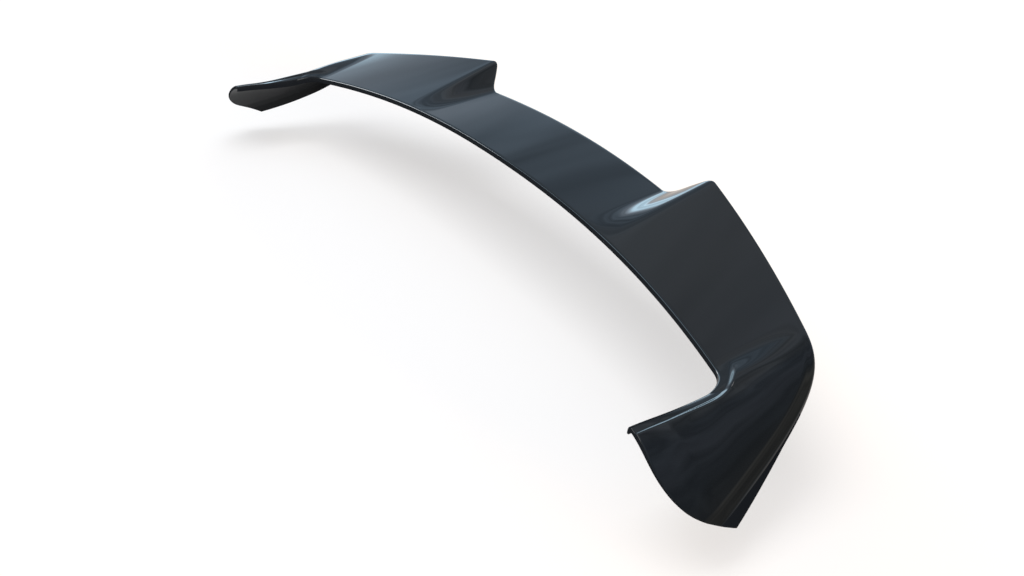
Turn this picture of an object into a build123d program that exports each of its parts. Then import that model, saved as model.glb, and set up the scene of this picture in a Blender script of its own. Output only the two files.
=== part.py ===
import os
from math import degrees, hypot, radians, tan

from build123d import *

# Roof spoiler extension: one thin moulded shell, open underneath. It is a strip across the car
# with a raised step towards each end, and a cheek at each end that runs forward and down.
# Millimetres. X is across the car, +Y is rearward and +Z is up. The origin is on the centre line,
# at the lower edge of the lip along the leading edge.

# shell
wall = 3.5             # thickness all over
lip_height = 7.0       # turned-down lip along the leading edge and the inside of the cheeks
lip_radius = 4.5       # roll from the lip to the skin
skirt_height = 13.0    # turned-down wall behind the trailing edge
crest_radius = 4.0     # roll from the skin to that wall
roundness = 0.6        # fullness of both rolls, where 0 is a plain chamfer
facet_width = 13.0     # flat along the trailing edge

# leading edge, lower side of the lip
corner_x = 516.5       # from the centre line to the inside corner of the cheek
lead_sweep = 50.2      # the inside corner lies this far forward of the middle
lead_drop = 36.3       # and this far below it
lead_power = 2.45      # how late the sweep sets in
corner_radius = 35.3   # of the inside corner, seen from above

# trailing edge of the middle part
trail_depth = 117.0    # from the leading edge to the trailing edge at the middle
trail_rise = 18.4      # height of the trailing edge there
trail_sweep = 66.2     # forward sweep at the inside corner's width
trail_drop = 30.3      # drop there

# raised outer parts
step_in_x = 210.8      # foot of the step's slope
step_out_x = 250.3     # top of the step's slope
foot_round = 13.9      # half length of the rounding at its foot
top_round = 7.8        # and at its top
step_reach = 35.9      # extra depth at the top of the step
step_rise = 29.7       # extra height there
reach_end_x = 508.2    # where the extra depth has run out
rise_end_x = 601.5     # where the extra height would run out

# cheek
fold_x = 505.0         # where the trailing edge starts to turn down
tip_x = 612.0          # lowest point of the trailing edge's crest
tip_y = -113.0
tip_z = -94.8
tip_run = (0.34, -0.91, -0.24)   # direction of the crest as it comes to that point
shoulder_pull = 49.0   # length of the crest's bend after the fold
tip_pull = 184.0       # length of the straighter run before the tip
front_x = 527.0        # front end of the cheek's lip
front_y = -168.5
front_z = -37.6
lip_sag = 26.0         # how much the lip hangs through behind the corner
bulge = 18.8           # crown of the cheek over the straight line from lip to crest
crown_place = 0.38     # where the crown lies, as a share of that line
crown_start = 0.64     # where it lies at the fold
tightness = 0.75       # how closely the skin follows the crown
facet_turn = 0.35      # extra slope of the trailing flat on the cheek
skirt_lean_strip = -5.0   # the wall's lower edge lies forward of the crest
skirt_lean_fold = -8.0
skirt_lean_tip = 5.5      # and outside it at the tip
tip_station = 1.65     # where along the lip the section through the tip starts
overrun = 0.6          # the cheek is lofted this far past its tip, then trimmed
overrun_pace = 150.0   # speed of the crest along that piece
overrun_bend = 45.0    # and how it turns in

# front outline of the cheek, seen from the side
outline_top = (-162.4, -16.0)
outline_nose = (-168.6, -55.9)
outline_chin = (-156.5, -79.6)
outline_belly = (-130.9, -95.2)
outline_heel = (-106.0, -107.8)
outline_clear = 400.0  # the piece cut away reaches this far out

# sections of the loft
middle_shares = [0, 0.24, 0.48, 0.69, 0.85, 0.95]   # of the way to the step
step_sections = 8
outer_sections = 7
corner_sections = 7
cheek_sections = 7


def ramp(x):
    """Share of the step at x: a straight rise with a rounded foot and top."""
    run = step_out_x - step_in_x
    foot, top = x - step_in_x, x - step_out_x

    def rounded(d, half_length):
        if d <= -half_length:
            return 0.0
        if d >= half_length:
            return d
        return (d + half_length) ** 2 / (4 * half_length)

    return (rounded(foot, foot_round) - rounded(top, top_round)) / run


def lead_point(x):
    share = x / corner_x
    return Vector(x, -lead_sweep * share**lead_power, -lead_drop * share**2)


def trail_point(x):
    share = x / corner_x
    reach = step_reach * (reach_end_x - x) / (reach_end_x - step_out_x)
    rise = step_rise * (rise_end_x - x) / (rise_end_x - step_out_x)
    y = trail_depth - trail_sweep * share**2 + reach * ramp(x)
    z = trail_rise - trail_drop * share**2 + rise * ramp(x)
    return Vector(x, y, z)


def unit_slope(curve, x):
    return (curve(x) - curve(x - 1)).normalized()


def bezier(points, t):
    a, b, c, d = points
    return a * (1 - t) ** 3 + b * (3 * t * (1 - t) ** 2) + c * (3 * t**2 * (1 - t)) + d * t**3


# the crest of the cheek: one curve from the fold to the tip, tangent to the trailing edge
crest_start = trail_point(fold_x)
tip = Vector(tip_x, tip_y, tip_z)
tip_way = Vector(*tip_run).normalized()
crest_curve = [
    crest_start,
    crest_start + unit_slope(trail_point, fold_x) * shoulder_pull,
    tip - tip_way * tip_pull,
    tip,
]


def crest_point(t):
    if t <= 1:
        return bezier(crest_curve, t)
    past = t - 1
    return tip + tip_way * past * overrun_pace - Vector(overrun_bend * past**2, 0, 0)


# the cheek's lip, seen from above: an arc at the inside corner, then a straight run to the front
corner = lead_point(corner_x)
front = Vector(front_x, front_y, front_z)
way_in = unit_slope(lead_point, corner_x)
way_in = Vector(way_in.X, way_in.Y).normalized()
way_out = Vector(front.X - corner.X, front.Y - corner.Y).normalized()
turn = radians(way_in.get_angle(way_out))
arc_leg = corner_radius * tan(turn / 2)
arc_start_x = corner.X - way_in.X * arc_leg
lip_run = hypot(front.X - corner.X, front.Y - corner.Y)


def lip_point(s):
    """Lower edge of the cheek's lip: s is 0 to 1 round the corner, 1 to 2 on to the front end."""
    if s < 1:
        start = lead_point(arc_start_x)
        centre = Vector(start.X, start.Y) + Vector(way_in.Y, -way_in.X) * corner_radius
        arm = Vector(start.X, start.Y) - centre
        spot = centre + arm.rotate(Axis.Z, -degrees(turn) * s)
        along = s * arc_leg / lip_run
        z = start.Z + (lip_height_at(along) - start.Z) * s
        return Vector(spot.X, spot.Y, z)
    along = arc_leg / lip_run + (s - 1) * (1 - arc_leg / lip_run)
    spot = Vector(corner.X, corner.Y) + way_out * lip_run * along
    return Vector(spot.X, spot.Y, lip_height_at(along))


def lip_height_at(along):
    u = min(along, 1)
    return corner.Z + (front.Z - corner.Z) * u - lip_sag * u * (1 - u) ** 2


def outer_corners(lip_low, crest, share):
    """The sharp corners of a section's outer side, as (out, up) from the lip's lower edge.

    share is 0 on the strip, and grows from 0 at the fold to 1 at the cheek's tip.
    """
    reach = hypot(crest.X - lip_low.X, crest.Y - lip_low.Y)
    rise = crest.Z - lip_low.Z
    lip_top = (0.0, lip_height)
    part_way = min(share, 1)
    place = crown_place + (crown_start - crown_place) * (1 - part_way) ** 2
    crown_height = bulge * part_way * (2 - part_way)
    crown = (reach * place, lip_height + (rise - lip_height) * place + crown_height)
    slope = (rise - crown[1]) / (reach - crown[0]) - facet_turn * smooth(part_way)
    length = hypot(1, slope)
    facet = (reach - facet_width / length, rise - facet_width * slope / length)
    lean = skirt_lean(share)
    foot = (reach + lean, rise - skirt_height)
    before = mix(lip_top, crown, tightness)
    after = mix(facet, crown, tightness)
    return [(0.0, 0.0), lip_top, before, after, facet, (reach, rise), foot]


def skirt_lean(share):
    if share <= 0:
        return skirt_lean_strip
    if share >= 1:
        return skirt_lean_tip
    if share < 0.5:
        return skirt_lean_strip + (skirt_lean_fold - skirt_lean_strip) * smooth(share / 0.5)
    return skirt_lean_fold + (skirt_lean_tip - skirt_lean_fold) * (2 * share - 1) ** 2


def smooth(u):
    return u * u * (3 - 2 * u)


def mix(a, b, t):
    return (a[0] + (b[0] - a[0]) * t, a[1] + (b[1] - a[1]) * t)


def inset(points, depth):
    """The same open line of corners, moved inwards by depth with mitred corners."""
    ways = []
    for a, b in zip(points, points[1:]):
        length = hypot(b[0] - a[0], b[1] - a[1])
        ways.append(((b[0] - a[0]) / length, (b[1] - a[1]) / length))
    moved = [(points[0][0] + ways[0][1] * depth, points[0][1] - ways[0][0] * depth)]
    for spot, a, b in zip(points[1:-1], ways, ways[1:]):
        normal = (a[1] + b[1], -a[0] - b[0])
        size = depth / (1 + a[0] * b[0] + a[1] * b[1])
        moved.append((spot[0] + normal[0] * size, spot[1] + normal[1] * size))
    moved.append((points[-1][0] + ways[-1][1] * depth, points[-1][1] - ways[-1][0] * depth))
    return moved


def toward(a, b, distance):
    length = hypot(b[0] - a[0], b[1] - a[1])
    return mix(a, b, distance / length)


def rolled_corner(start, corner_spot, end):
    Bezier(start, mix(start, corner_spot, roundness), mix(end, corner_spot, roundness), end)


def section_face(lip_low, crest, share):
    """One section of the shell, in the upright plane through the lip and the crest."""
    out = Vector(crest.X - lip_low.X, crest.Y - lip_low.Y).normalized()
    plane = Plane(origin=lip_low, x_dir=out, z_dir=out.cross(Vector(0, 0, 1)))
    low, lip_top, before, after, facet, edge, foot = outer_corners(lip_low, crest, share)
    in_low, in_top, in_before, in_after, in_facet, in_edge, in_foot = inset(
        [low, lip_top, before, after, facet, edge, foot], wall
    )
    lip_end = toward(lip_top, low, lip_radius)
    skin_start = toward(lip_top, before, lip_radius)
    edge_start = toward(edge, facet, crest_radius)
    edge_end = toward(edge, foot, crest_radius)
    with BuildSketch(plane) as section:
        with BuildLine():
            Line(low, lip_end)
            rolled_corner(lip_end, lip_top, skin_start)
            Bezier(skin_start, before, after, facet)
            Line(facet, edge_start)
            rolled_corner(edge_start, edge, edge_end)
            Line(edge_end, foot)
            Line(foot, in_foot)
            Line(in_foot, in_edge)
            Line(in_edge, in_facet)
            Bezier(in_facet, in_after, in_before, in_top)
            Line(in_top, in_low)
            Line(in_low, low)
        make_face()
    return section.sketch.face()


def strip_section(x):
    return section_face(lead_point(x), trail_point(x), 0)


def cheek_section(s):
    """s is 0 to 1 round the inside corner, tip_station at the tip, and larger beyond it."""
    share = s / tip_station
    return section_face(lip_point(s), crest_point(share), share)


step_start = step_in_x - foot_round
step_end = step_out_x + top_round
strip_stations = [step_start * share for share in middle_shares]
strip_stations += [step_start + (step_end - step_start) * k / step_sections for k in range(step_sections)]
strip_stations += [step_end + (arc_start_x - step_end) * k / outer_sections for k in range(outer_sections)]
cheek_stations = [k / corner_sections for k in range(corner_sections)]
cheek_end = tip_station + overrun
cheek_stations += [1 + (cheek_end - 1) * k / cheek_sections for k in range(cheek_sections + 1)]

half = [strip_section(x) for x in strip_stations] + [cheek_section(s) for s in cheek_stations]
other_half = [face.mirror(Plane.YZ) for face in reversed(half[1:])]

with BuildPart() as spoiler_shell:
    loft(other_half + half)
    with BuildSketch(Plane.YZ):
        with BuildLine():
            Spline(outline_top, outline_nose, outline_chin, outline_belly, outline_heel)
            Polyline(
                outline_heel,
                (outline_heel[0], -outline_clear),
                (-outline_clear, -outline_clear),
                (-outline_clear, outline_clear),
                (outline_top[0], outline_clear),
                outline_top,
            )
        make_face()
    extrude(amount=2 * outline_clear, both=True, mode=Mode.SUBTRACT)

os.makedirs("parts", exist_ok=True)
spoiler_shell.part.label = "spoiler_shell"
export_step(spoiler_shell.part, "parts/spoiler_shell.step")
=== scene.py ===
import math

import bpy
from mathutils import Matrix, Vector


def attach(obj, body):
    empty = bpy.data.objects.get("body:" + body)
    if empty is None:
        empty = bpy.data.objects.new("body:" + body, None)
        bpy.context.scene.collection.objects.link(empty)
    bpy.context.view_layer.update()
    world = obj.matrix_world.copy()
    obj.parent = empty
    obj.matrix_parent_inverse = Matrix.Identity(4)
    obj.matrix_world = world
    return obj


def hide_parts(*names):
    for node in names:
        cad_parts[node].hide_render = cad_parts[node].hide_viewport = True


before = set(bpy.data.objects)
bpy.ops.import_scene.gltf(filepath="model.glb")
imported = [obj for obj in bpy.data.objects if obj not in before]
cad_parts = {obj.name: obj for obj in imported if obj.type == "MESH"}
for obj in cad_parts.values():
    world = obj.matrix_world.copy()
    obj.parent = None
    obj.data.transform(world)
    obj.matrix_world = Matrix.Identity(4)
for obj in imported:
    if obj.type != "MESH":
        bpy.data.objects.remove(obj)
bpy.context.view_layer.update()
bpy.ops.object.select_all(action="DESELECT")
print("frame loaded:", list(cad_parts))

mm = 0.001

# the camera, at the photograph's viewing angle
cameraSettings = {
    "place": (1.26306, -0.70623, 0.59058),
    "look": (-0.76603, 0.43833, -0.47017),
    "lens": 43.45,
    "sensor": 36.0,
    "clip": (0.01, 60.0),
}


def makeCamera(s):
    bpy.ops.object.camera_add(location=s["place"])
    cam = bpy.context.object
    cam.name = "photoCamera"
    cam.rotation_mode = "QUATERNION"
    cam.rotation_quaternion = Vector(s["look"]).to_track_quat("-Z", "Y")
    cam.data.lens = s["lens"]
    cam.data.sensor_width = s["sensor"]
    cam.data.clip_start, cam.data.clip_end = s["clip"]
    bpy.context.scene.camera = cam
    cam.select_set(False)


makeCamera(cameraSettings)
print("camera set")

# sizes of the shell in millimetres: the solid's own, and a few small ones that only the scene has
shell = {
    "wall": 3.5,
    # the section, from the lip over the skin and the trailing flat to the skirt
    "lipHeight": 7.0,
    "lipExtra": 0.9,            # the cheek's lip stands a little taller
    "extraOver": 0.5,           # and has its full height from this share of the cheek on
    "lipDrop": 0.8,             # the strip's lip reaches a little lower
    "lipRadius": 4.5,
    "stripLipRadius": 2.4,      # and its roll is tighter
    "stripOver": 0.25,          # both are gone at this share of the cheek
    "bulge": 18.8,              # the skin's crown on the cheek
    "crownPlace": 0.38,
    "crownStart": 0.64,
    "tightness": 0.75,
    "facetWidth": 13.0,         # the trailing flat
    "facetTurn": 0.35,
    "crestRadius": 4.0,
    "roundness": 0.6,
    "skirtHeight": 13.0,
    "leanStrip": -5.0,
    "leanFold": -8.0,
    "leanTip": 5.5,
    "insideRadius": 0.9,        # small rounding of the inner corners
    # the strip, with its raised step
    "cornerX": 516.5,
    "leadSweep": 50.2,
    "leadDrop": 36.3,
    "leadPower": 2.45,
    "trailDepth": 117.0,
    "trailRise": 18.4,
    "trailSweep": 66.2,
    "trailDrop": 30.3,
    "stepInX": 210.8,
    "stepOutX": 250.3,
    "footRound": 13.9,
    "topRound": 7.8,
    "stepReach": 35.9,
    "stepRise": 29.7,
    "reachEndX": 508.2,
    "riseEndX": 601.5,
    "foldX": 505.0,
    "foldBlend": 29.0,          # the last stretch of strip before the fold
    # the cheek
    "cornerRadius": 35.3,
    "tip": (612.0, -113.0, -94.8),
    "tipRun": (0.34, -0.91, -0.24),
    "shoulderPull": 49.0,
    "tipPull": 184.0,
    "front": (527.0, -168.5, -37.6),
    "lipSag": 26.0,
    "tipStation": 1.65,
    "overrun": 0.6,             # the loft goes on past the tip, for the front outline to cut
    "overrunPace": 150.0,
    "overrunBend": 45.0,
    "flangeWidth": 9.8,         # flat rim along the cheek's lip
    "flangeRise": (7.5, 4.0),   # width of the soft step up to the skin, at the corner and past it
    "flangeLift": (3.8, 2.0),   # and its height
    "flangeSettle": 45.0,       # how far past the corner they are settled
    "flangeStart": 0.6,         # share of the corner over which the step comes up
    # the cheek's front outline from the side, which goes straight on above and below
    "outline": (
        (-162.4, -16.0), (-168.6, -55.9), (-156.5, -79.6), (-130.9, -95.2), (-106.0, -107.8),
    ),
    "outlineTop": 200.0,
    "outlineFoot": -400.0,
    "outlineSteps": 24,
    "trimFrom": 1.2,            # first station at which a row can meet the outline
    "trimHalvings": 22,
    # the eased edges of the wall's end faces
    "rimRound": 0.8,
    "rimSegments": 3,
    "smoothAngle": 40,
    # how many faces run along each stretch
    "lipFaces": 2,
    "rollFaces": 6,
    "skinFaces": 48,
    "fineFaces": 22,            # of these, the ones close to the lip
    "fineReach": 24.0,
    "facetFaces": 3,
    "skirtFaces": 3,
    "middleColumns": 14,
    "stepColumns": 28,
    "outerColumns": 26,
    "cornerColumns": 16,
    "cheekColumns": 40,
    # where the finish is matt and without shine: unpainted plastic, and painted shade that keeps these
    # faces dark instead of reflecting the pale floor
    "mattFaces": (4, 8),        # the lip's lowest faces: how many on the strip and on the cheeks
    "mattCrest": 4,             # the cheek's skirt, from this far up its rolled edge
    "skirtColumn": 4,           # and from this column on
}

# the finishes' places in the shell's materials: the gloss paint is the first of them, at 0, and
# the last place marks the wall's end faces until their edges are eased
satinFinish, mattFinish, endFinish = 1, 2, 3


def smooth(u):
    return u * u * (3 - 2 * u)


def eased(u):
    return smooth(max(0.0, min(1.0, u)))


def between(a, b, u):
    return a + (b - a) * u


def mix(a, b, u):
    return (between(a[0], b[0], u), between(a[1], b[1], u))


def toward(a, b, distance):
    return mix(a, b, distance / math.hypot(b[0] - a[0], b[1] - a[1]))


def bezier(a, b, c, d, t):
    k = 1 - t
    return a * k**3 + b * (3 * t * k * k) + c * (3 * t * t * k) + d * t**3


def flatBezier(a, b, c, d, t):
    spot = bezier(Vector(a), Vector(b), Vector(c), Vector(d), t)
    return (spot.x, spot.y)


def rolledEdge(start, corner, end, fullness, t):
    return flatBezier(start, mix(start, corner, fullness), mix(end, corner, fullness), end, t)


def stepShare(s, x):
    # a straight rise with a rounded foot and top
    def rounded(d, half):
        if d <= -half:
            return 0.0
        if d >= half:
            return d
        return (d + half) ** 2 / (4 * half)

    rise = rounded(x - s["stepInX"], s["footRound"]) - rounded(x - s["stepOutX"], s["topRound"])
    return rise / (s["stepOutX"] - s["stepInX"])


def leadSpot(s, x):
    share = x / s["cornerX"]
    return Vector((x, -s["leadSweep"] * share ** s["leadPower"], -s["leadDrop"] * share**2))


def trailSpot(s, x):
    share = x / s["cornerX"]
    reach = s["stepReach"] * (s["reachEndX"] - x) / (s["reachEndX"] - s["stepOutX"])
    rise = s["stepRise"] * (s["riseEndX"] - x) / (s["riseEndX"] - s["stepOutX"])
    up = stepShare(s, x)
    return Vector((
        x,
        s["trailDepth"] - s["trailSweep"] * share**2 + reach * up,
        s["trailRise"] - s["trailDrop"] * share**2 + rise * up,
    ))


def slopeAt(curve, s, x):
    return (curve(s, x) - curve(s, x - 1)).normalized()


def cheekGuides(s):
    # the curves that carry the cheek: its crest, and its lip seen from above
    corner = leadSpot(s, s["cornerX"])
    front = Vector(s["front"])
    wayIn = slopeAt(leadSpot, s, s["cornerX"])
    wayIn = Vector((wayIn.x, wayIn.y)).normalized()
    wayOut = Vector((front.x - corner.x, front.y - corner.y)).normalized()
    turn = wayIn.angle(wayOut)
    radius = s["cornerRadius"]
    arcLeg = radius * math.tan(turn / 2)
    arcStart = leadSpot(s, corner.x - wayIn.x * arcLeg)
    tip = Vector(s["tip"])
    tipWay = Vector(s["tipRun"]).normalized()
    start = trailSpot(s, s["foldX"])
    shoulder = start + slopeAt(trailSpot, s, s["foldX"]) * s["shoulderPull"]
    return {
        "corner": corner,
        "front": front,
        "wayOut": wayOut,
        "turn": turn,
        "arcLeg": arcLeg,
        "arcStartX": arcStart.x,
        "arcCentre": Vector((arcStart.x + wayIn.y * radius, arcStart.y - wayIn.x * radius)),
        "arcEnd": Vector((corner.x, corner.y)) + wayOut * arcLeg,
        "lipRun": math.hypot(front.x - corner.x, front.y - corner.y),
        "tip": tip,
        "tipWay": tipWay,
        "crest": (start, shoulder, tip - tipWay * s["tipPull"], tip),
    }


def crestSpot(s, g, t):
    if t <= 1:
        return bezier(*g["crest"], t)
    past = t - 1
    bend = Vector((s["overrunBend"] * past**2, 0, 0))
    return g["tip"] + g["tipWay"] * past * s["overrunPace"] - bend


def lipHeightAt(s, g, along):
    u = min(along, 1)
    return between(g["corner"].z, g["front"].z, u) - s["lipSag"] * u * (1 - u) ** 2


def lipSpot(s, g, k):
    # k runs 0 to 1 round the corner and 1 to 2 on to the front end
    legShare = g["arcLeg"] / g["lipRun"]
    if k < 1:
        start = leadSpot(s, g["arcStartX"])
        centre = g["arcCentre"]
        arm = Vector((start.x, start.y)) - centre
        angle = -g["turn"] * k
        turned = Vector((
            arm.x * math.cos(angle) - arm.y * math.sin(angle),
            arm.x * math.sin(angle) + arm.y * math.cos(angle),
        ))
        spot = centre + turned
        z = between(start.z, lipHeightAt(s, g, k * legShare), k)
        return Vector((spot.x, spot.y, z))
    along = legShare + (k - 1) * (1 - legShare)
    spot = Vector((g["corner"].x, g["corner"].y)) + g["wayOut"] * g["lipRun"] * along
    return Vector((spot.x, spot.y, lipHeightAt(s, g, along)))


def skirtLean(s, share):
    # how far the skirt's foot stands behind the crest, by the share of the cheek
    if share <= 0:
        return s["leanStrip"]
    if share >= 1:
        return s["leanTip"]
    if share < 0.5:
        return between(s["leanStrip"], s["leanFold"], smooth(share / 0.5))
    return between(s["leanFold"], s["leanTip"], (2 * share - 1) ** 2)


def sectionCorners(s, lip, crest, share):
    # the sharp corners of a section, as (out, up) from the lip's lower edge
    reach = math.hypot(crest.x - lip.x, crest.y - lip.y)
    rise = crest.z - lip.z
    lipHeight = s["lipHeight"] + s["lipExtra"] * eased(share / s["extraOver"])
    low = (0.0, -s["lipDrop"] * (1 - eased(share / s["stripOver"])))
    lipTop = (0.0, lipHeight)
    part = min(share, 1)
    place = between(s["crownPlace"], s["crownStart"], (1 - part) ** 2)
    height = s["bulge"] * part * (2 - part)
    crown = (reach * place, lipHeight + (rise - lipHeight) * place + height)
    slope = (rise - crown[1]) / (reach - crown[0]) - s["facetTurn"] * smooth(part)
    length = math.hypot(1, slope)
    facet = (reach - s["facetWidth"] / length, rise - s["facetWidth"] * slope / length)
    foot = (reach + skirtLean(s, share), rise - s["skirtHeight"])
    before = mix(lipTop, crown, s["tightness"])
    after = mix(facet, crown, s["tightness"])
    return [low, lipTop, before, after, facet, (reach, rise), foot]


def insetLine(points, depth):
    # the same line, moved inwards by the wall
    ways = []
    for a, b in zip(points, points[1:]):
        length = math.hypot(b[0] - a[0], b[1] - a[1])
        ways.append(((b[0] - a[0]) / length, (b[1] - a[1]) / length))
    moved = [(points[0][0] + ways[0][1] * depth, points[0][1] - ways[0][0] * depth)]
    for spot, a, b in zip(points[1:-1], ways, ways[1:]):
        size = depth / (1 + a[0] * b[0] + a[1] * b[1])
        moved.append((spot[0] + (a[1] + b[1]) * size, spot[1] - (a[0] + b[0]) * size))
    moved.append((points[-1][0] + ways[-1][1] * depth, points[-1][1] - ways[-1][0] * depth))
    return moved


def sectionRow(s, corners, lipRadius, crestRadius, row):
    # one point of the section; rows run from the lip's lower edge over the skin to the skirt's foot
    low, lipTop, before, after, facet, edge, foot = corners
    lipEnd = toward(lipTop, low, lipRadius)
    skinStart = toward(lipTop, before, lipRadius)
    edgeStart = toward(edge, facet, crestRadius)
    edgeEnd = toward(edge, foot, crestRadius)
    if row < s["lipFaces"]:
        return mix(low, lipEnd, row / s["lipFaces"])
    row -= s["lipFaces"]
    if row < s["rollFaces"]:
        return rolledEdge(lipEnd, lipTop, skinStart, s["roundness"], row / s["rollFaces"])
    row -= s["rollFaces"]
    if row < s["skinFaces"]:
        # the faces are finer close to the lip, where the flat rim and its step lie
        fine = s["fineFaces"]
        near = s["fineReach"] / (3 * math.hypot(before[0] - skinStart[0], before[1] - skinStart[1]))
        if row <= fine:
            share = near * row / fine
        else:
            share = near + (1 - near) * (row - fine) / (s["skinFaces"] - fine)
        return flatBezier(skinStart, before, after, facet, share)
    row -= s["skinFaces"]
    if row < s["facetFaces"]:
        return mix(facet, edgeStart, row / s["facetFaces"])
    row -= s["facetFaces"]
    if row < s["rollFaces"]:
        return rolledEdge(edgeStart, edge, edgeEnd, s["roundness"], row / s["rollFaces"])
    row -= s["rollFaces"]
    return mix(edgeEnd, foot, row / s["skirtFaces"])


def flangeLiftAt(s, g, spot):
    # how far the skin stands above the flat rim, by the distance from the lip seen from above
    flat = Vector((spot.x, spot.y))
    past = flat - g["arcEnd"]
    along = past.dot(g["wayOut"])
    if along > 0:
        distance = (past - g["wayOut"] * along).length
    else:
        distance = (flat - g["arcCentre"]).length - s["cornerRadius"]
    settled = eased(along / s["flangeSettle"])
    rise = between(*s["flangeRise"], settled)
    lift = between(*s["flangeLift"], settled)
    return lift * eased((distance - s["flangeWidth"]) / rise)


def shellSpot(s, g, station, row, inner):
    # a station below 0 lies on the strip, counted in millimetres before the corner's arc
    if station <= 0:
        x = g["arcStartX"] + station
        ease = max(0.0, 1 + station / s["foldBlend"])
        lip = leadSpot(s, x)
        crest = trailSpot(s, x + (s["foldX"] - g["arcStartX"]) * ease**2)
        share = 0
    else:
        share = station / s["tipStation"]
        lip = lipSpot(s, g, station)
        crest = crestSpot(s, g, share)
    corners = sectionCorners(s, lip, crest, share)
    lipRadius = between(s["stripLipRadius"], s["lipRadius"], eased(share / s["stripOver"]))
    crestRadius = s["crestRadius"]
    if inner:
        corners = insetLine(corners, s["wall"])
        lipRadius = crestRadius = s["insideRadius"]
    out, up = sectionRow(s, corners, lipRadius, crestRadius, row)
    way = Vector((crest.x - lip.x, crest.y - lip.y, 0)).normalized()
    spot = lip + way * out + Vector((0, 0, up))
    if not inner and station > 0:
        # the step fades out towards the trailing edge
        edgeReach = corners[5][0]
        spot.z += flangeLiftAt(s, g, spot) * eased(station / s["flangeStart"]) * (1 - out / edgeReach)
    return spot


def outlinePoints(points, count):
    # a smooth curve through the points: natural cubic spline on the distance between them
    knots = [0.0]
    for a, b in zip(points, points[1:]):
        knots.append(knots[-1] + math.hypot(b[0] - a[0], b[1] - a[1]))
    n = len(points)
    line = []
    bends = []
    for axis in (0, 1):
        value = [p[axis] for p in points]
        lower, middle, upper, right = [0.0] * n, [1.0] * n, [0.0] * n, [0.0] * n
        for i in range(1, n - 1):
            left, ahead = knots[i] - knots[i - 1], knots[i + 1] - knots[i]
            lower[i], middle[i], upper[i] = left, 2 * (left + ahead), ahead
            right[i] = 6 * ((value[i + 1] - value[i]) / ahead - (value[i] - value[i - 1]) / left)
        for i in range(1, n):
            factor = lower[i] / middle[i - 1]
            middle[i] -= factor * upper[i - 1]
            right[i] -= factor * right[i - 1]
        bend = [0.0] * n
        for i in range(n - 1, -1, -1):
            bend[i] = (right[i] - (upper[i] * bend[i + 1] if i < n - 1 else 0)) / middle[i]
        bends.append(bend)
    for i in range(n - 1):
        span = knots[i + 1] - knots[i]
        for k in range(count):
            t = k / count
            a, b = 1 - t, t
            spot = []
            for axis in (0, 1):
                p, q = points[i][axis], points[i + 1][axis]
                m, w = bends[axis][i], bends[axis][i + 1]
                spot.append(a * p + b * q + ((a**3 - a) * m + (b**3 - b) * w) * span * span / 6)
            line.append(tuple(spot))
    line.append(points[-1])
    return line


def leftOut(line, y, z):
    # above 0 where the point lies past the front outline
    best, side = math.inf, 0.0
    for (ay, az), (by, bz) in zip(line, line[1:]):
        dy, dz = by - ay, bz - az
        t = max(0.0, min(1.0, ((y - ay) * dy + (z - az) * dz) / (dy * dy + dz * dz)))
        gap = (y - ay - t * dy) ** 2 + (z - az - t * dz) ** 2
        if gap < best:
            best, side = gap, (y - ay) * dz - (z - az) * dy
    return side


def rowEnds(s, g, rows):
    # the station where each row meets the cheek's front outline
    line = outlinePoints(s["outline"], s["outlineSteps"])
    line = [(line[0][0], s["outlineTop"])] + line + [(line[-1][0], s["outlineFoot"])]
    ends = []
    for inner in (False, True):
        found = []
        for row in range(rows):
            low, high = s["trimFrom"], s["tipStation"] + s["overrun"]
            for _ in range(s["trimHalvings"]):
                middle = (low + high) / 2
                spot = shellSpot(s, g, middle, row, inner)
                if leftOut(line, spot.y, spot.z) > 0:
                    high = middle
                else:
                    low = middle
            found.append(low)
        ends.append(found)
    return ends


def stationTable(s, g):
    # shared stations of half the strip and the corner; the cheek's own follow per row
    stepStart = s["stepInX"] - s["footRound"]
    stepEnd = s["stepOutX"] + s["topRound"]
    table = []
    for fromX, toX, count in (
        (0, stepStart, s["middleColumns"]),
        (stepStart, stepEnd, s["stepColumns"]),
        (stepEnd, g["arcStartX"], s["outerColumns"]),
    ):
        table += [fromX + (toX - fromX) * k / count - g["arcStartX"] for k in range(count)]
    table += [k / s["cornerColumns"] for k in range(s["cornerColumns"])]
    return table


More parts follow.
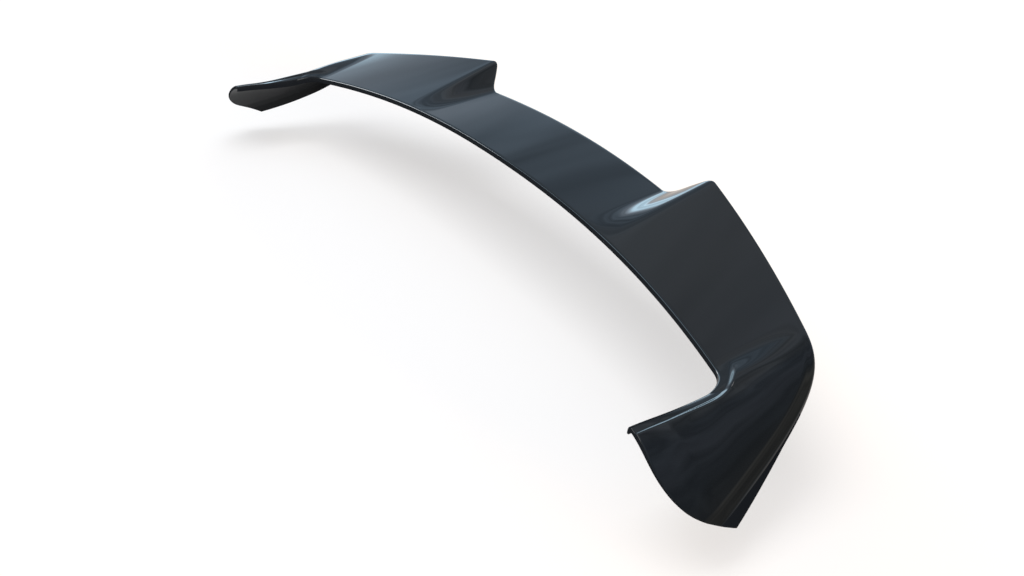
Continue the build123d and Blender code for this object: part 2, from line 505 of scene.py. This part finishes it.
def makeShell(s):
    g = cheekGuides(s)
    rows = s["lipFaces"] + 2 * s["rollFaces"] + s["skinFaces"] + s["facetFaces"] + s["skirtFaces"] + 1
    shared = stationTable(s, g)
    ends = rowEnds(s, g, rows)
    halfColumns = len(shared) + s["cheekColumns"]
    columns = 2 * halfColumns + 1

    def place(column, row, inner):
        k = abs(column - halfColumns)
        if k < len(shared):
            station = shared[k]
        else:
            share = (k - len(shared)) / s["cheekColumns"]
            station = 1 + (ends[inner][row] - 1) * share
        spot = shellSpot(s, g, station, row, inner)
        if column < halfColumns:
            spot.x = -spot.x
        return spot * mm

    # a flat grid, laid over the shell's outer side, then thickened inwards
    bpy.ops.mesh.primitive_grid_add(
        x_subdivisions=columns - 1, y_subdivisions=rows - 1, size=1, location=(0, 0, 0)
    )
    piece = bpy.context.object
    piece.name = "glossShell"
    verts = piece.data.vertices
    order = sorted(range(len(verts)), key=lambda i: (round(verts[i].co.y, 6), verts[i].co.x))
    seats = {index: (n % columns, n // columns) for n, index in enumerate(order)}
    for index, (column, row) in seats.items():
        verts[index].co = place(column, row, False)
    wall = piece.modifiers.new("wall", "SOLIDIFY")
    wall.thickness = s["wall"] * mm
    wall.offset = -1
    wall.use_even_offset = True
    wall.use_rim = True
    wall.material_offset = satinFinish
    wall.material_offset_rim = endFinish
    marks = [bpy.data.materials.new(name) for name in ("skin", "inner", "matt", "end")]
    for mark in marks:
        piece.data.materials.append(mark)
    bpy.ops.object.modifier_apply(modifier="wall")
    count = len(seats)
    verts = piece.data.vertices
    for index, (column, row) in seats.items():
        verts[index + count].co = place(column, row, True)
    print("shell laid:", columns, "by", rows, "points on each side")

    # the lip's lowest faces and the cheek's skirt take the matt finish, whose missing shine is painted
    # shade
    onStrip, onCheek = s["mattFaces"]
    skirtRow = rows - 1 - s["skirtFaces"] - s["mattCrest"]
    for face in piece.data.polygons:
        if all(i < count for i in face.vertices):
            column = min(abs(seats[i][0] - halfColumns) for i in face.vertices)
            faceRows = [seats[i][1] for i in face.vertices]
            onLip = max(faceRows) <= (onStrip if column < len(shared) else onCheek)
            onSkirt = column >= len(shared) + s["skirtColumn"] and min(faceRows) >= skirtRow
            if onLip or onSkirt:
                face.material_index = mattFinish

    # the edges that border the wall's end faces are eased
    bpy.ops.object.mode_set(mode="EDIT")
    bpy.ops.mesh.select_mode(type="FACE")
    bpy.ops.mesh.select_all(action="DESELECT")
    bpy.ops.object.mode_set(mode="OBJECT")
    for face in piece.data.polygons:
        face.select = face.material_index == endFinish
    bpy.ops.object.mode_set(mode="EDIT")
    bpy.ops.mesh.region_to_loop()
    bpy.ops.mesh.bevel(
        offset=s["rimRound"] * mm, offset_type="OFFSET", segments=s["rimSegments"],
        profile=0.5, affect="EDGES", clamp_overlap=True,
    )
    bpy.ops.mesh.select_all(action="DESELECT")
    bpy.ops.object.mode_set(mode="OBJECT")

    # the wall's end faces are matt too; clearing the materials would forget which face has which
    finishes = [min(face.material_index, mattFinish) for face in piece.data.polygons]
    piece.data.materials.clear()
    for mark in marks:
        bpy.data.materials.remove(mark)
    bpy.ops.object.shade_smooth_by_angle(angle=math.radians(s["smoothAngle"]))
    piece.select_set(False)
    return piece, finishes


shellPiece, shellFinishes = makeShell(shell)
print("shell made:", len(shellPiece.data.polygons), "faces")

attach(shellPiece, "root")
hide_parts("spoiler_shell")

# gloss black paint over a moulded shell: clear, with a faint orange peel
paint = {
    "deep": (0.0030, 0.0042, 0.0060, 1),
    "pale": (0.0052, 0.0056, 0.0058, 1),
    "roughLow": 0.012,
    "roughHigh": 0.030,
    "flowSize": 6.0,            # noise scales are per metre
    "flowDetail": 5.0,
    "flowRoughness": 0.55,
    "grainSize": 420.0,
    "grainDetail": 1.0,
    "grainDepth": 0.000006,
    "ior": 1.4,
    "waveSize": 7.0,
    "waveDetail": 1.0,
    "waveDepth": 0.00018,
}
# the inner side has a bare moulded finish, and its shine is held far down as painted shade, so that it
# stays dark instead of reflecting the pale floor
inside = {
    "deep": (0.012, 0.012, 0.0123, 1),
    "pale": (0.020, 0.020, 0.0204, 1),
    "roughLow": 0.32,
    "roughHigh": 0.45,
    "flowSize": 14.0,
    "flowDetail": 4.0,
    "flowRoughness": 0.6,
    "grainSize": 900.0,
    "grainDetail": 2.0,
    "grainDepth": 0.00003,
    "shine": 0.06,
}
# the lip's foot, the wall's end faces and the cheek's skirt: matt unpainted plastic, with no shine at
# all as painted shade, so they stay dark instead of reflecting the pale floor
edging = {
    "deep": (0.010, 0.011, 0.013, 1),
    "pale": (0.020, 0.021, 0.023, 1),
    "roughLow": 0.50,
    "roughHigh": 0.65,
    "flowSize": 14.0,
    "flowDetail": 4.0,
    "flowRoughness": 0.6,
    "grainSize": 1300.0,
    "grainDetail": 2.0,
    "grainDepth": 0.00002,
    "shine": 0.0,
}
flowLow, flowHigh = 0.35, 0.7   # the part of the noise that moves the roughness


def node(tree, kind, place, **values):
    made = tree.nodes.new(kind)
    made.location = place
    for name, value in values.items():
        setattr(made, name, value)
    return made


def fill(made, **values):
    for name, value in values.items():
        made.inputs[name.replace("_", " ")].default_value = value
    return made


def newMaterial(name):
    material = bpy.data.materials.new(name)
    material.use_nodes = True
    material.node_tree.nodes.clear()
    return material, material.node_tree


def makeFinish(name, s):
    # a slow noise moves the colour and the roughness, and a fine one grains the surface
    material, tree = newMaterial(name)
    link = tree.links.new
    out = node(tree, "ShaderNodeOutputMaterial", (900, 0))
    shader = node(tree, "ShaderNodeBsdfPrincipled", (600, 0))
    where = node(tree, "ShaderNodeTexCoord", (-900, 0))
    flow = fill(
        node(tree, "ShaderNodeTexNoise", (-500, 250)),
        Scale=s["flowSize"], Detail=s["flowDetail"], Roughness=s["flowRoughness"],
    )
    tone = node(tree, "ShaderNodeMix", (100, 250), data_type="RGBA")
    tone.inputs["A"].default_value = s["deep"]
    tone.inputs["B"].default_value = s["pale"]
    rough = fill(
        node(tree, "ShaderNodeMapRange", (100, -50)),
        From_Min=flowLow, From_Max=flowHigh, To_Min=s["roughLow"], To_Max=s["roughHigh"],
    )
    grain = fill(
        node(tree, "ShaderNodeTexNoise", (-500, -250)), Scale=s["grainSize"], Detail=s["grainDetail"]
    )
    bump = fill(node(tree, "ShaderNodeBump", (350, -350)), Distance=s["grainDepth"], Strength=1.0)
    link(where.outputs["Object"], flow.inputs["Vector"])
    link(where.outputs["Object"], grain.inputs["Vector"])
    link(flow.outputs["Fac"], tone.inputs["Factor"])
    link(flow.outputs["Fac"], rough.inputs["Value"])
    link(tone.outputs["Result"], shader.inputs["Base Color"])
    link(rough.outputs["Result"], shader.inputs["Roughness"])
    link(grain.outputs["Fac"], bump.inputs["Height"])
    link(bump.outputs["Normal"], shader.inputs["Normal"])
    link(shader.outputs["BSDF"], out.inputs["Surface"])
    return material, shader, where, bump


def makePaint(s):
    # the grain is the orange peel, and a long shallow wave lies under it
    material, shader, where, peel = makeFinish("glossBlackPaint", s)
    tree = material.node_tree
    link = tree.links.new
    shader.inputs["IOR"].default_value = s["ior"]
    wave = fill(
        node(tree, "ShaderNodeTexNoise", (-500, -500)), Scale=s["waveSize"], Detail=s["waveDetail"]
    )
    broad = fill(node(tree, "ShaderNodeBump", (100, -450)), Distance=s["waveDepth"], Strength=1.0)
    link(where.outputs["Object"], wave.inputs["Vector"])
    link(wave.outputs["Fac"], broad.inputs["Height"])
    link(broad.outputs["Normal"], peel.inputs["Normal"])
    return material


# a low-shine finish: its small shine is painted shade, which keeps these faces dark instead of
# reflecting the pale floor
def makeBareWithPaintedShade(name, s):
    material, shader, _, _ = makeFinish(name, s)
    shader.inputs["Specular IOR Level"].default_value = s["shine"]
    return material


shellPiece.data.materials.append(makePaint(paint))
shellPiece.data.materials.append(makeBareWithPaintedShade("satinInnerSideWithPaintedShade", inside))
shellPiece.data.materials.append(makeBareWithPaintedShade("mattEdgeWithPaintedShade", edging))
shellPiece.data.polygons.foreach_set("material_index", shellFinishes)
shellPiece.data.update()
print("finishes made:", [material.name for material in shellPiece.data.materials])

# the floor lies a little below the shell, where the photograph's shadow puts it
ground = {
    "height": -0.141,
    "size": 50.0,
    "colour": (0.8, 0.8, 0.8, 1),
    "glow": 0.43,               # share of plain white, seen near the shell
    "glowColour": (1.08, 1.0, 0.94, 1),
    "glowStrength": 1.09,
    "middle": (-0.18, -0.05, 0.0),
    "reach": (1.25, 0.42),      # away from this middle the floor turns plain white
    "whiteFrom": 0.45,
    "whiteTo": 1.0,
}

# the light of a plain studio: a bright horizon behind, a dimmer room and two soft boxes;
# each stop is a height, the sine of the angle above the horizon, and the light that comes from there
studio = {
    "backStops": (
        (0.00, (1.20, 1.20, 1.20)),
        (0.08, (1.29, 1.39, 1.51)),
        (0.14, (2.25, 3.10, 3.70)),
        (0.26, (2.40, 3.35, 4.00)),
        (0.30, (1.40, 1.72, 2.04)),
        (0.34, (0.95, 1.14, 1.36)),
        (0.41, (0.55, 0.72, 0.90)),
        (0.56, (0.48, 0.62, 0.77)),
        (0.61, (0.38, 0.46, 0.55)),
        (0.67, (0.38, 0.46, 0.54)),
        (0.76, (0.85, 0.93, 1.02)),
        (0.81, (0.71, 0.79, 0.90)),
        (0.87, (0.49, 0.56, 0.63)),
        (1.00, (0.64, 0.68, 0.73)),
    ),
    "sideStops": (
        (0.00, (1.00, 1.00, 1.00)),
        (0.13, (0.89, 0.93, 0.97)),
        (0.21, (0.51, 0.50, 0.45)),
        (0.45, (0.51, 0.50, 0.45)),
        (0.60, (0.29, 0.34, 0.39)),
        (0.74, (0.40, 0.46, 0.56)),
        (0.87, (0.48, 0.58, 0.71)),
        (1.00, (0.64, 0.68, 0.73)),
    ),
    "backWay": (-0.906, 0.423, 0.0),
    "backFrom": 0.05,           # how far a direction must point that way to be part of the back
    "backTo": 0.60,
    "streakStretch": (1.3, 1.3, 5.5),
    "streakSize": 1.8,
    "streakDetail": 3.0,
    "streakWarp": 0.5,
    "streakNoise": (0.3, 0.7),  # this range of the noise gives the range of strengths below
    "streakStrength": (0.55, 1.45),
    "calmTo": 0.07,             # the sky is even up to this height above the horizon
    "streakFrom": 0.13,
}
softBoxes = {
    "softBoxAbove": {
        "place": (0.05, -0.35, 1.5), "aim": (0.05, -0.35, 0.0), "size": (1.2, 1.25), "radiance": 3.4,
    },
    "softBoxLeft": {
        "place": (-1.2, -0.62, 0.17), "aim": (-0.36, -0.02, 0.0), "size": (0.3, 0.36), "radiance": 7.5,
    },
}


def makeFloor(s):
    bpy.ops.mesh.primitive_plane_add(size=s["size"], location=(0, 0, s["height"]))
    floor = bpy.context.object
    floor.name = "studioFloor"
    bpy.ops.object.transform_apply(location=True, rotation=False, scale=False)
    material, tree = newMaterial("paleFloor")
    link = tree.links.new
    out = node(tree, "ShaderNodeOutputMaterial", (900, 0))
    matt = fill(node(tree, "ShaderNodeBsdfDiffuse", (300, 0)), Color=s["colour"])
    plain = fill(
        node(tree, "ShaderNodeEmission", (300, -200)),
        Color=s["glowColour"], Strength=s["glowStrength"],
    )
    blend = node(tree, "ShaderNodeMixShader", (600, 0))
    share = node(tree, "ShaderNodeMath", (100, 200), operation="MULTIPLY")

    # only the camera, reflections and rays through glass see the plain white
    path = node(tree, "ShaderNodeLightPath", (-600, 0))
    seen = node(tree, "ShaderNodeMath", (-300, 0), operation="MAXIMUM")
    seenToo = node(tree, "ShaderNodeMath", (-100, -100), operation="MAXIMUM")
    link(path.outputs["Is Camera Ray"], seen.inputs[0])
    link(path.outputs["Is Glossy Ray"], seen.inputs[1])
    link(seen.outputs["Value"], seenToo.inputs[0])
    link(path.outputs["Is Transmission Ray"], seenToo.inputs[1])
    link(seenToo.outputs["Value"], share.inputs[0])

    # near the shell the plain white is a share of what they see, and further away it is all of it
    where = node(tree, "ShaderNodeTexCoord", (-900, 400))
    shift = node(tree, "ShaderNodeVectorMath", (-800, 400), operation="SUBTRACT")
    shift.inputs[1].default_value = s["middle"]
    squeeze = node(tree, "ShaderNodeVectorMath", (-700, 400), operation="MULTIPLY")
    squeeze.inputs[1].default_value = (1 / s["reach"][0], 1 / s["reach"][1], 0)
    away = node(tree, "ShaderNodeVectorMath", (-500, 400), operation="LENGTH")
    whiter = fill(
        node(tree, "ShaderNodeMapRange", (-300, 400), interpolation_type="SMOOTHSTEP"),
        From_Min=s["whiteFrom"], From_Max=s["whiteTo"], To_Min=s["glow"],
    )
    link(where.outputs["Object"], shift.inputs[0])
    link(shift.outputs["Vector"], squeeze.inputs[0])
    link(squeeze.outputs["Vector"], away.inputs[0])
    link(away.outputs["Value"], whiter.inputs["Value"])
    link(whiter.outputs["Result"], share.inputs[1])

    link(share.outputs["Value"], blend.inputs["Fac"])
    link(matt.outputs["BSDF"], blend.inputs[1])
    link(plain.outputs["Emission"], blend.inputs[2])
    link(blend.outputs["Shader"], out.inputs["Surface"])
    floor.data.materials.append(material)
    floor.select_set(False)


def skyRamp(tree, place, stops, source):
    ramp = node(tree, "ShaderNodeValToRGB", place)
    marks = ramp.color_ramp.elements
    while len(marks) < len(stops):
        marks.new(0.5)
    # all the places come first, because a mark that moves can change the order
    for mark, (height, _) in zip(marks, stops):
        mark.position = height
    for mark, (_, colour) in zip(marks, stops):
        mark.color = (*colour, 1)
    tree.links.new(source, ramp.inputs["Fac"])
    return ramp


def makeSky(s):
    world = bpy.data.worlds.new("studioSky")
    bpy.context.scene.world = world
    world.use_nodes = True
    tree = world.node_tree
    tree.nodes.clear()
    link = tree.links.new
    out = node(tree, "ShaderNodeOutputWorld", (1200, 0))
    glow = node(tree, "ShaderNodeBackground", (1000, 0))
    where = node(tree, "ShaderNodeTexCoord", (-900, 0))
    split = node(tree, "ShaderNodeSeparateXYZ", (-700, 100))
    link(where.outputs["Generated"], split.inputs["Vector"])

    # two colour ramps by height, one for the back and one for the other sides
    back = skyRamp(tree, (-300, 300), s["backStops"], split.outputs["Z"])
    side = skyRamp(tree, (-300, 0), s["sideStops"], split.outputs["Z"])
    flat = node(tree, "ShaderNodeVectorMath", (-700, -300), operation="MULTIPLY")
    flat.inputs[1].default_value = (1, 1, 0)
    even = node(tree, "ShaderNodeVectorMath", (-500, -300), operation="NORMALIZE")
    facing = node(tree, "ShaderNodeVectorMath", (-300, -300), operation="DOT_PRODUCT")
    facing.inputs[1].default_value = s["backWay"]
    share = fill(
        node(tree, "ShaderNodeMapRange", (-100, -300), interpolation_type="SMOOTHSTEP"),
        From_Min=s["backFrom"], From_Max=s["backTo"],
    )
    room = node(tree, "ShaderNodeMix", (200, 100), data_type="RGBA")
    link(where.outputs["Generated"], flat.inputs[0])
    link(flat.outputs["Vector"], even.inputs[0])
    link(even.outputs["Vector"], facing.inputs[0])
    link(facing.outputs["Value"], share.inputs["Value"])
    link(share.outputs["Result"], room.inputs["Factor"])
    link(side.outputs["Color"], room.inputs["A"])
    link(back.outputs["Color"], room.inputs["B"])

    # level streaks, which fade out towards the horizon
    stretch = node(tree, "ShaderNodeMapping", (-700, -600))
    stretch.inputs["Scale"].default_value = s["streakStretch"]
    cloud = fill(
        node(tree, "ShaderNodeTexNoise", (-400, -600)),
        Scale=s["streakSize"], Detail=s["streakDetail"], Distortion=s["streakWarp"],
    )
    streak = fill(
        node(tree, "ShaderNodeMapRange", (-100, -600)),
        From_Min=s["streakNoise"][0], From_Max=s["streakNoise"][1],
        To_Min=s["streakStrength"][0], To_Max=s["streakStrength"][1],
    )
    calm = fill(
        node(tree, "ShaderNodeMapRange", (100, -400)),
        From_Min=s["calmTo"], From_Max=s["streakFrom"],
    )
    steady = node(tree, "ShaderNodeMix", (400, -500), data_type="FLOAT")
    steady.inputs["A"].default_value = 1.0
    link(where.outputs["Generated"], stretch.inputs["Vector"])
    link(stretch.outputs["Vector"], cloud.inputs["Vector"])
    link(cloud.outputs["Fac"], streak.inputs["Value"])
    link(split.outputs["Z"], calm.inputs["Value"])
    link(calm.outputs["Result"], steady.inputs["Factor"])
    link(streak.outputs["Result"], steady.inputs["B"])

    link(room.outputs["Result"], glow.inputs["Color"])
    link(steady.outputs["Result"], glow.inputs["Strength"])
    link(glow.outputs["Background"], out.inputs["Surface"])


def makeSoftBox(name, s):
    bpy.ops.object.light_add(type="AREA", location=s["place"])
    box = bpy.context.object
    box.name = name
    box.rotation_mode = "QUATERNION"
    box.rotation_quaternion = (Vector(s["aim"]) - Vector(s["place"])).to_track_quat("-Z", "Y")
    box.data.shape = "RECTANGLE"
    box.data.size, box.data.size_y = s["size"]
    box.data.energy = s["radiance"] * math.pi * s["size"][0] * s["size"][1]
    box.visible_camera = False
    box.select_set(False)


makeFloor(ground)
makeSky(studio)
for boxName, boxSettings in softBoxes.items():
    makeSoftBox(boxName, boxSettings)
bpy.context.scene.view_settings.view_transform = "Standard"
print("floor, sky and soft boxes made")
